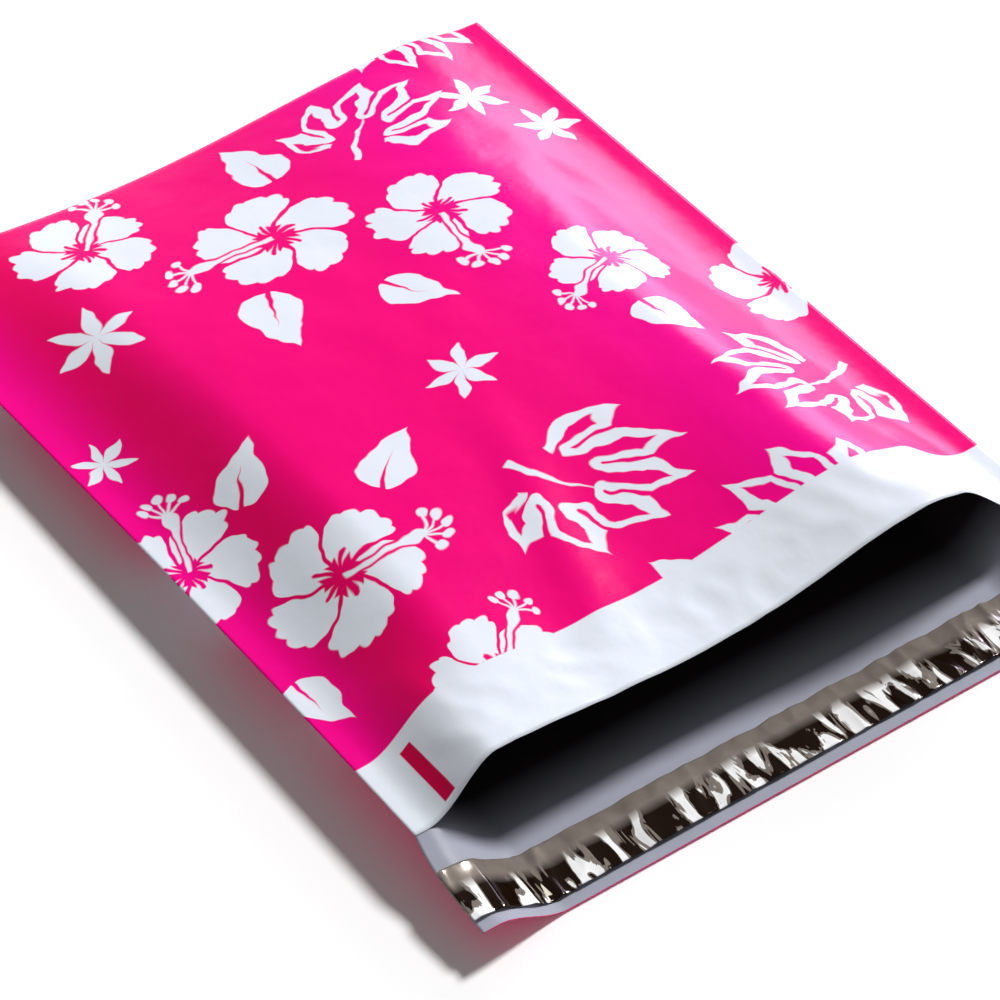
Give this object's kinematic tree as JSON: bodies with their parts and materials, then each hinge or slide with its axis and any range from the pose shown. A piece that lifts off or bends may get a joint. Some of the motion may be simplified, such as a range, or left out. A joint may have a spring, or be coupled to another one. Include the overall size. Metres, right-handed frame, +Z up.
{
  "type": "poly mailer bag",
  "caption": "Empty film mailing bag lying face up with its mouth slightly open and a sealing flap with a lined adhesive strip.",
  "frame": {"origin": "centre of the footprint, on the surface that the bag lies on", "axes": "+X across the bag, +Y from the mouth to the bottom fold, +Z up"},
  "size_m": [0.254, 0.3701, 0.038],
  "materials": {
    "film": "glossy co-extruded film, white outside where it carries no print, silver grey to black inside",
    "ink": "glossy pink print with white flowers and leaves left open",
    "adhesive": "tacky hot melt",
    "liner": "shiny crinkled release film"
  },
  "bodies": {
    "root": {"bag_film": "film", "front_ink": "ink", "register_mark": "ink", "adhesive_strip": "adhesive", "release_liner": "liner"}
  },
  "joints": []
}
